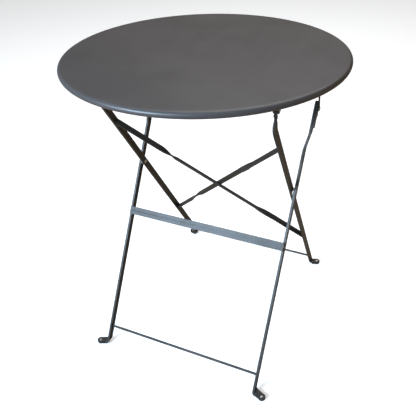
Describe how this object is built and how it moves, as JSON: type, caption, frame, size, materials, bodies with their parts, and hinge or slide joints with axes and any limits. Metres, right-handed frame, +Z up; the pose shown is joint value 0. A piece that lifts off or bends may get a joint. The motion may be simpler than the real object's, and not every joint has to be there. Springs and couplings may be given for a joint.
{
  "type": "table",
  "caption": "Folding bistro table of dark grey painted steel with a round rolled-rim top, crossed flat-bar legs and twisted braces",
  "frame": {"origin": "on the floor at the middle of the table's bounding box, in the centre plane between the two pairs of legs", "axes": "+X the table's right, +Y its back where the inner frame's feet stand, +Z up"},
  "size_m": [0.6, 0.6164, 0.735],
  "materials": {
    "top_paint": "satin powder coat, dark grey",
    "frame_paint": "fine textured powder coat, dark grey",
    "painted_rivet": "painted over, darker in its recess",
    "zinc_steel": "zinc plated, slightly dulled",
    "black_nylon": "moulded, matt"
  },
  "bodies": {
    "inner_frame": {"inner_leg_right": "frame_paint", "inner_leg_left": "frame_paint", "brace_falling_right": "frame_paint", "brace_rising_right": "frame_paint", "brace_rivet": "painted_rivet", "inner_lower_rod": "frame_paint", "pivot_washers": "zinc_steel", "pivot_rivets": "zinc_steel", "inner_glides": "black_nylon", "inner_foot_rivets": "zinc_steel"},
    "outer_frame": {"outer_leg_right": "frame_paint", "outer_leg_left": "frame_paint", "outer_crossbar": "frame_paint", "crossbar_rivets": "painted_rivet", "outer_lower_rod": "frame_paint", "stay_plate_right": "frame_paint", "stay_plate_left": "frame_paint", "outer_glides": "black_nylon", "outer_foot_rivets": "zinc_steel"},
    "tabletop": {"top_sheet": "top_paint", "rail_right": "frame_paint", "rail_left": "frame_paint", "hinge_clevis_right": "frame_paint", "hinge_clevis_left": "frame_paint", "hinge_pins": "zinc_steel", "stay_lug_right": "frame_paint", "stay_lug_left": "frame_paint", "stay_upper_rivets": "zinc_steel"},
    "stay_swing_right": {"stay_right": "frame_paint", "stay_lower_rivet_right": "zinc_steel"},
    "stay_swing_left": {"stay_left": "frame_paint", "stay_lower_rivet_left": "zinc_steel"}
  },
  "joints": [
    {"name": "legs_fold", "type": "hinge", "parent": "inner_frame", "child": "outer_frame", "pos_m": [0, 0.0238, 0.421], "axis": [1, 0, 0], "range_deg": [0, 62.7]},
    {"name": "top_tilt", "type": "hinge", "parent": "inner_frame", "child": "tabletop", "pos_m": [0, -0.1162, 0.682], "axis": [1, 0, 0], "range_deg": [-57.2, 0]},
    {"name": "stay_turn_right", "type": "hinge", "parent": "tabletop", "child": "stay_swing_right", "pos_m": [0, 0.10226, 0.718], "axis": [1, 0, 0], "range_deg": [-73.88, 0]},
    {"name": "stay_turn_left", "type": "hinge", "parent": "tabletop", "child": "stay_swing_left", "pos_m": [0, 0.10226, 0.718], "axis": [1, 0, 0], "range_deg": [-73.88, 0]}
  ],
  "couplings": [
    {"joint": "top_tilt", "follows": "legs_fold", "ratio": -0.90909},
    {"joint": "stay_turn_right", "follows": "legs_fold", "ratio": -1.1751},
    {"joint": "stay_turn_left", "follows": "legs_fold", "ratio": -1.1751}
  ]
}
